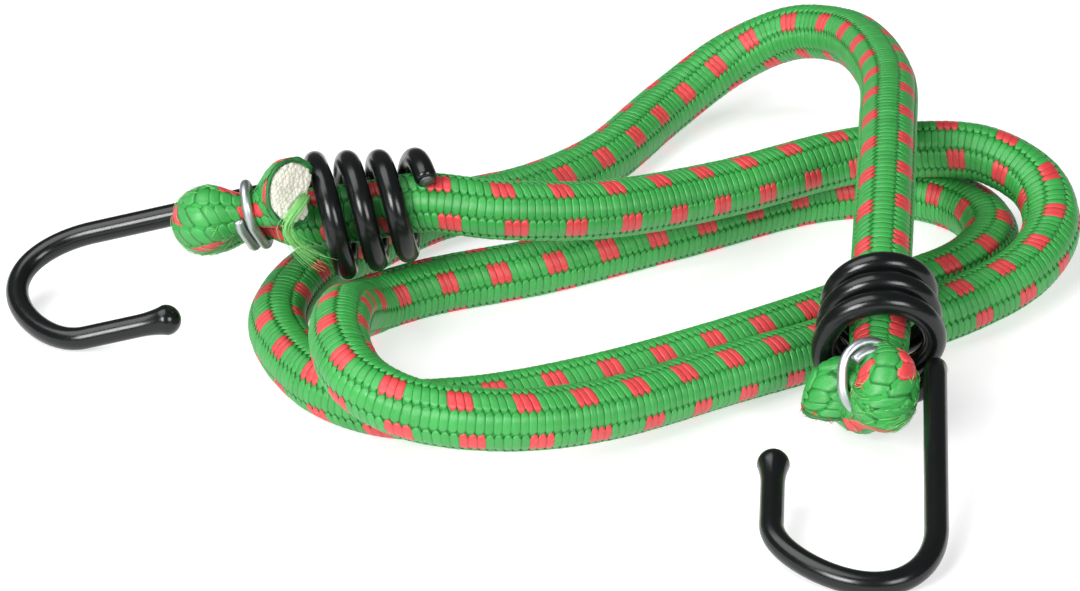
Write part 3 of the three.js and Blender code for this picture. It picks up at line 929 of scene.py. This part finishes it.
class BUNGEE_OT_hooks(bpy.types.Operator):
    """Make the two coated wire hooks"""

    bl_idname = "bungee.hooks"
    bl_label = "Hooks"

    def execute(self, context):
        hook = settings("hook")
        coating = plain_material(
            "dipped_coating", tuple(hook.black), roughness=0.22, grain=900.0, depth=0.05
        )
        tree = coating.node_tree
        feed(tree, tree.nodes["Principled BSDF"], Specular_IOR_Level=0.4)
        steel = plain_material("drawn_steel", STEEL_COLOR, roughness=0.45, metallic=1.0)
        for name in ENDS:
            end = EndFrame(name)
            path = self.centre_line(end, hook)
            self.make_coating(name, path, hook, coating)
            self.make_steel(name, path, hook, steel)
        return {"FINISHED"}

    def centre_line(self, end, hook):
        """Coil, quarter bend, shank, bend and tip, from the cut end of the coil.

        The coil is a helix whose radius grows towards the hook. Its turns stand back by the coil's skew, and
        its first part springs back by the square of the way round instead. The bend is half a turn with
        along = shank + R sin(a) (1 + skew cos(a)) and side = R cos(a).
        """
        shank = np.cos(hook.lean) * end.out + np.sin(hook.lean) * end.up
        exit_angle = hook.coil_exit / hook.coil_radius
        shank_side = hook.coil_radius - hook.inset

        def on_coil(angle, outward, radius):
            spoke = np.cos(angle)[:, None] * end.side - np.sin(angle)[:, None] * end.up
            return end.seat + outward[:, None] * end.out + radius[:, None] * spoke

        def on_hook(along, sideways):
            sideways = np.broadcast_to(sideways, along.shape)
            return end.seat + along[:, None] * shank + sideways[:, None] * end.side

        share = np.linspace(1, 0, HOOK_POINTS["coil"], endpoint=False)
        turns = share * hook.coil_turns
        radius = hook.coil_radius - hook.coil_flare * share
        loose = np.clip(1 - (hook.coil_turns - turns) / SPRUNG_TURN, 0, 1)
        outward = -turns * hook.coil_pitch - hook.coil_spring * loose**2
        angle = exit_angle + turns * FULL_TURN
        outward = outward - (1 - loose**2) * coil_skew(end, angle, turns, radius)
        coil = on_coil(angle, outward, radius)
        quarter = np.linspace(0, np.pi / 2, HOOK_POINTS["exit"], endpoint=False)
        rise = hook.coil_exit * (1 - np.cos(quarter))
        radius = hook.coil_radius - hook.inset * np.sin(quarter)
        leave = on_coil(exit_angle * (1 - np.sin(quarter)), rise, radius)
        along = np.linspace(hook.coil_exit, hook.shank, HOOK_POINTS["shank"], endpoint=False)
        straight = on_hook(along, shank_side)
        angle = np.linspace(0, np.pi, HOOK_POINTS["bend"], endpoint=False)
        along = hook.shank + hook.bend_radius * np.sin(angle) * (1 + hook.bend_skew * np.cos(angle))
        bend = on_hook(along, shank_side - hook.bend_radius * (1 - np.cos(angle)))
        along = np.linspace(hook.shank, hook.shank - hook.tip, HOOK_POINTS["tip"])
        tip = on_hook(along, shank_side - 2 * hook.bend_radius)
        return even_steps(np.concatenate([coil, leave, straight, bend, tip]), HOOK_STEP)

    def make_coating(self, name, path, hook, material):
        """The coating: a round bar drawn in at the coil's cut end, with a rounded drop on the tip.

        The drop grows by the square of the way along its taper and ends in half a ball.
        """
        wire, ball = 0.5 * hook.wire, 0.5 * hook.tip_ball
        ahead = unit(path[-1] - path[-2])
        steps = ball * np.sin(np.linspace(0, np.pi / 2, DROP_RINGS))[1:]
        path = np.concatenate([path, path[-1] + steps[:, None] * ahead])
        along = lengths(path)
        left = along[-1] - along
        swell = wire + (ball - wire) * np.clip((DROP_START - left) / DROP_TAPER, 0, 1) ** 2
        half_ball = np.sqrt(np.maximum(ball**2 - (ball - left) ** 2, LEAST_SQUARE))
        radius = np.where(left < ball, half_ball, swell)
        radius[0] = CUT_EDGE * wire
        points, faces = sweep(path, radius, COATING_SIDES)
        piece = make_piece(name + "_coating", points, faces, material, name + "_hook")
        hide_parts(name + "_hook_coating")

    def make_steel(self, name, path, hook, material):
        """The steel inside, which shows at the cut end of the coil."""
        ahead = unit(path[0] - path[1])
        bare = np.concatenate([path[:1] + STEEL_PROUD * ahead, path[:-STEEL_SHORT]])
        points, faces = sweep(bare, 0.5 * hook.steel, STEEL_SIDES)
        piece = make_piece(name + "_steel", points, faces, material, name + "_hook")
        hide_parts(name + "_hook_wire")


TIE_STEP = 0.0003
TIE_SIDES = 14
TURN_POINTS = 60  # to a turn of the tie
TIE_BITE = 0.85  # the share of the pinch that the tie follows
TIE_SEAT = 0.4  # from the cord to the wire's middle, as a share of the wire


class BUNGEE_OT_ties(bpy.types.Operator):
    """Make the two wire ties"""

    bl_idname = "bungee.ties"
    bl_label = "Ties"

    def execute(self, context):
        tie = settings("tie")
        zinc = plain_material(
            "galvanised_wire", tuple(tie.zinc), roughness=0.42, metallic=1.0, grain=1800.0, depth=0.15
        )
        for name in ENDS:
            end = EndFrame(name)
            points, faces = sweep(self.centre_line(end, tie), 0.5 * tie.wire, TIE_SIDES)
            piece = make_piece(name + "_tie", points, faces, zinc, "cord")
            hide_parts(name + "_tie_wire")
        return {"FINISHED"}

    def centre_line(self, end, tie):
        """Turns round the fold: half circles joined by straight runs, which climb along the tie's axis and
        drift along its span."""
        cord = settings("cord")
        half = end.tie_half
        radius = 0.5 * cord.diameter * (1 - TIE_BITE * end.pinch) + TIE_SEAT * tie.wire
        arc, run = np.pi * radius, 2 * half
        lap = 2 * (arc + run)
        turn = np.linspace(0, end.tie_turns, int(end.tie_turns * TURN_POINTS))
        way = ((turn + end.tie_start) % 1) * lap
        angle = np.where(way < arc, way / radius - np.pi / 2, (way - arc - run) / radius + np.pi / 2)
        on_arc = (way < arc) | ((way >= arc + run) & (way < 2 * arc + run))
        hub = np.where(way < arc, half, -half)
        along = np.where(way < arc + run, half - (way - arc), -half + (way - 2 * arc - run))
        deep = np.where(way < arc + run, radius, -radius)
        along = np.where(on_arc, hub + radius * np.cos(angle), along)
        deep = np.where(on_arc, radius * np.sin(angle), deep)
        climb = (turn - 0.5 * end.tie_turns) * tie.pitch
        steps = np.stack([climb, along + end.tie_drift * turn, deep], axis=1)
        loop = end.tie_middle + steps @ np.array([end.tie_axis, end.tie_span, end.tie_depth])
        return even_steps(loop, TIE_STEP)


HAIR_SIDES = 3
HAIR_SLANT = np.array((0.8, 0.5, 0.33))
HAIR_TIP = 0.5  # the thickness at the tip, as a share of the root's


def hairs(paths, thickness):
    """Thin three-sided hairs along rows of points, each drawn out to half its thickness at its tip.

    A hair's rings are centre + radius (cos angle side + sin angle other), with side square to the hair and
    to one slanting direction.
    """
    count, stations = paths.shape[:2]
    ahead = unit(np.gradient(paths, axis=1))
    side = unit(np.cross(ahead, HAIR_SLANT))
    other = np.cross(ahead, side)
    angle = round_angles(HAIR_SIDES)[:, None]
    radius = 0.5 * thickness * np.linspace(1, HAIR_TIP, stations)[:, None, None]
    spoke = np.cos(angle) * side[:, :, None] + np.sin(angle) * other[:, :, None]
    rings = (paths[:, :, None] + radius * spoke).reshape(count, -1, 3)
    points = np.concatenate([rings, paths[:, :1], paths[:, -1:]], axis=1)
    return points.reshape(-1, 3), copies(ring_faces(stations, HAIR_SIDES), count, points.shape[1])


FRAY_SEED = 23

# The loose bundle at the left end: its middle line, outward, towards the fold and across it, the range of
# its fibres' lengths as shares of the line, and their spread at the start and what it gains by the end.
BUNDLE = (
    (0.0, 0.0098, -0.0012), (0.0009, 0.0102, -0.0028), (0.0022, 0.01, -0.0042), (0.003, 0.0092, -0.0051),
    (0.0024, 0.0074, -0.0066), (0.0003, 0.0057, -0.0084), (-0.002, 0.0047, -0.0094),
)
BUNDLE_STEP = 0.0003
BUNDLE_STATIONS = 10
BUNDLE_SHARES = (0.5, 1.0)
BUNDLE_SPREAD = (0.00026, 0.0006)

FIBRE_STATIONS = 5
LEFT_STUBBLE = 0.4  # the left end's longest stubble, as a share of the setting
RIGHT_STUBBLE = 0.7
RED_FROM = 0.1  # where the right end's stubble turns red, in diameters from the cord's middle
STUBBLE_SHARES = (0.3, 1.0)  # its lengths, as shares of the longest
STUBBLE_RADII = (0.44, 0.49)  # where it stands, as shares of the diameter
STUBBLE_WANDER = 0.25  # how far round it wanders
STUBBLE_BEND = 0.6  # how far out it bends, as a share of its length
STUBBLE_ROOT = 0.0008  # how far inside the cut it starts
FUZZ_SPREAD = 0.003  # how far from the crown the fuzz lies
FUZZ_LENGTH = 0.0008
FUZZ_WANDER = 0.3
FUZZ_RADIUS = 0.48  # where its fibres start and end, as a share of the diameter
FUZZ_ARCH = 0.012  # how far they rise between, likewise

RIM_THICKNESS = 0.00022  # the mean radius of the melted rim's section
RIM_PROUD = 0.0001  # how far its middle stands out of the cut
RIM_WAVES = (3, 7, 13)  # waves round the rim
RIM_WAVE = 0.2  # how much each changes the thickness
RIM_POINTS = 72
RIM_SIDES = 8


class BUNGEE_OT_frays(bpy.types.Operator):
    """Make the frayed yarns and the melted rims at the cord's cut ends"""

    bl_idname = "bungee.frays"
    bl_label = "Frays"

    def execute(self, context):
        cord, fray = settings("cord"), settings("fray")
        shape = CordShape()
        rng = np.random.default_rng(FRAY_SEED)
        # Painted highlight in part: the loose fibres' pale colour also stands for light streaks on the
        # crowns.
        loose = plain_material("loose_yarn_and_sheen", tuple(fray.loose), roughness=0.5)
        torn_green = plain_material("torn_green_yarn", tuple(cord.green), roughness=0.5)
        torn_red = plain_material("torn_red_yarn", tuple(cord.red), roughness=0.5)
        melted = plain_material(
            "melted_yarn", tuple(fray.melted), roughness=0.5, grain=800.0, depth=0.4, mottle=0.9
        )
        self.make_bundle(shape.ends[0], fray, loose, rng)
        for name, along, outward in (("left", 0.0, -1), ("right", shape.length, 1)):
            self.make_rim(name, shape, along, outward, cord, melted, rng)
        stubble = self.stubble(shape, 0.0, -1, fray, cord, rng, LEFT_STUBBLE)
        self.make_hairs("left_stubble", stubble, fray, torn_green)
        stubble = self.stubble(shape, shape.length, 1, fray, cord, rng, RIGHT_STUBBLE)
        is_red = (stubble[:, 0] - shape.path[-1]) @ shape.ends[1].fold > RED_FROM * cord.diameter
        self.make_hairs("right_stubble", stubble[~is_red], fray, torn_green)
        self.make_hairs("right_red_stubble", stubble[is_red], fray, torn_red)
        for end in shape.ends:
            self.make_hairs(end.name + "_fuzz", self.fuzz(shape, end, fray, cord, rng), fray, loose)
        return {"FINISHED"}

    def make_hairs(self, name, paths, fray, material):
        points, faces = hairs(paths, fray.fibre)
        make_piece(name, points, faces, material, "cord")

    def make_bundle(self, end, fray, material, rng):
        """A loose bundle of fibres that hangs from the left end's rim.

        Each fibre follows the middle line up to its own share of it, shifted by its own offset times a
        spread that grows with the square of the way along.
        """
        line = curve_through(end.place(BUNDLE), BUNDLE_STEP)
        share = np.linspace(0, 1, BUNDLE_STATIONS) * rng.uniform(*BUNDLE_SHARES, (fray.bundle, 1))
        middle = read_off(line, np.arange(len(line)), share * (len(line) - 1))
        offset = rng.normal(0, 1, (fray.bundle, 1, 3))
        spread = BUNDLE_SPREAD[0] + BUNDLE_SPREAD[1] * share[..., None] ** 2
        self.make_hairs("left_fray", middle + offset * spread, fray, material)

    def stubble(self, shape, along, outward, fray, cord, rng, longest):
        """Rows of points for short fibres round a cut end, which stand out past it and bend outwards by the
        square of the way along."""
        each = (fray.stubble, 1)
        step = np.linspace(0, 1, FIBRE_STATIONS)[None]
        reach = longest * fray.reach * rng.uniform(*STUBBLE_SHARES, each)
        angle = rng.uniform(0, FULL_TURN, each) + rng.normal(0, STUBBLE_WANDER, each) * step
        radius = cord.diameter * rng.uniform(*STUBBLE_RADII, each)
        radius = radius + STUBBLE_BEND * reach * step**2 * rng.random(each)
        places = along + outward * (step * (reach + STUBBLE_ROOT) - STUBBLE_ROOT)
        return shape.points(places, angle, radius)

    def fuzz(self, shape, end, fray, cord, rng):
        """Rows of points for loose fibres that lie in low arches on the crown of an end's fold. Their pale
        colour paints highlight streaks on the crown.
        """
        each = (fray.fuzz, 1)
        crown = shape.along[np.argmin(np.linalg.norm(shape.path - end.crown, axis=1))]
        step = np.linspace(0, 1, FIBRE_STATIONS)[None]
        along = crown + rng.normal(0, FUZZ_SPREAD, each) + rng.normal(0, FUZZ_LENGTH, each) * step
        angle = rng.uniform(0, FULL_TURN, each) + rng.normal(0, FUZZ_WANDER, each) * step
        radius = cord.diameter * (FUZZ_RADIUS + FUZZ_ARCH * np.sin(np.pi * step)) + 0 * along
        return shape.points(along, angle, radius)

    def make_rim(self, name, shape, along, outward, cord, material, rng):
        """The melted edge of the sheath: a ring round the cut end whose thickness wanders.

        At the angle a the thickness is the mean times 1 + the sum of three waves, and the ring's section is
        a circle of that radius in the cord's distance and radius.
        """
        angle = round_angles(RIM_POINTS)[:, None]
        section = round_angles(RIM_SIDES)[None]
        waves = sum(RIM_WAVE * np.sin(k * angle + rng.uniform(0, FULL_TURN)) for k in RIM_WAVES)
        thick = RIM_THICKNESS * (1 + waves)
        places = along + outward * RIM_PROUD - thick * np.sin(section)
        radius = GROUND * cord.diameter + thick * np.cos(section)
        rim = shape.points(places, angle + 0 * section, radius).reshape(-1, 3)
        make_piece(name + "_rim", rim, loop_faces(RIM_POINTS, RIM_SIDES), material, "cord")


class BUNGEE_PT_panel(bpy.types.Panel):
    """The bungee cord's pieces and sizes"""

    bl_label = "Bungee Cord"
    bl_idname = "BUNGEE_PT_panel"
    bl_space_type = "VIEW_3D"
    bl_region_type = "UI"
    bl_category = "Bungee"

    def draw(self, context):
        for operator in OPERATORS:
            self.layout.operator(operator.bl_idname)
        for group in GROUPS:
            box = self.layout.box()
            box.label(text=group.title())
            for key in settings(group).bl_rna.properties.keys():
                if key not in {"rna_type", "name"}:
                    box.prop(settings(group), key)


GROUPS = {
    "cord": CordSettings,
    "hook": HookSettings,
    "tie": TieSettings,
    "fray": FraySettings,
    "stage": StageSettings,
}
OPERATORS = (BUNGEE_OT_stage, BUNGEE_OT_cord, BUNGEE_OT_hooks, BUNGEE_OT_ties, BUNGEE_OT_frays)


def register():
    for made in (*GROUPS.values(), *OPERATORS, BUNGEE_PT_panel):
        bpy.utils.register_class(made)
    for name, group in GROUPS.items():
        setattr(bpy.types.Scene, "bungee_" + name, PointerProperty(type=group))


def unregister():
    for name in GROUPS:
        delattr(bpy.types.Scene, "bungee_" + name)
    for made in (BUNGEE_PT_panel, *OPERATORS, *GROUPS.values()):
        bpy.utils.unregister_class(made)


def main():
    register()
    bpy.ops.bungee.stage()
    bpy.ops.bungee.cord()
    bpy.ops.bungee.hooks()
    bpy.ops.bungee.ties()
    bpy.ops.bungee.frays()


if __name__ == "__main__":
    main()
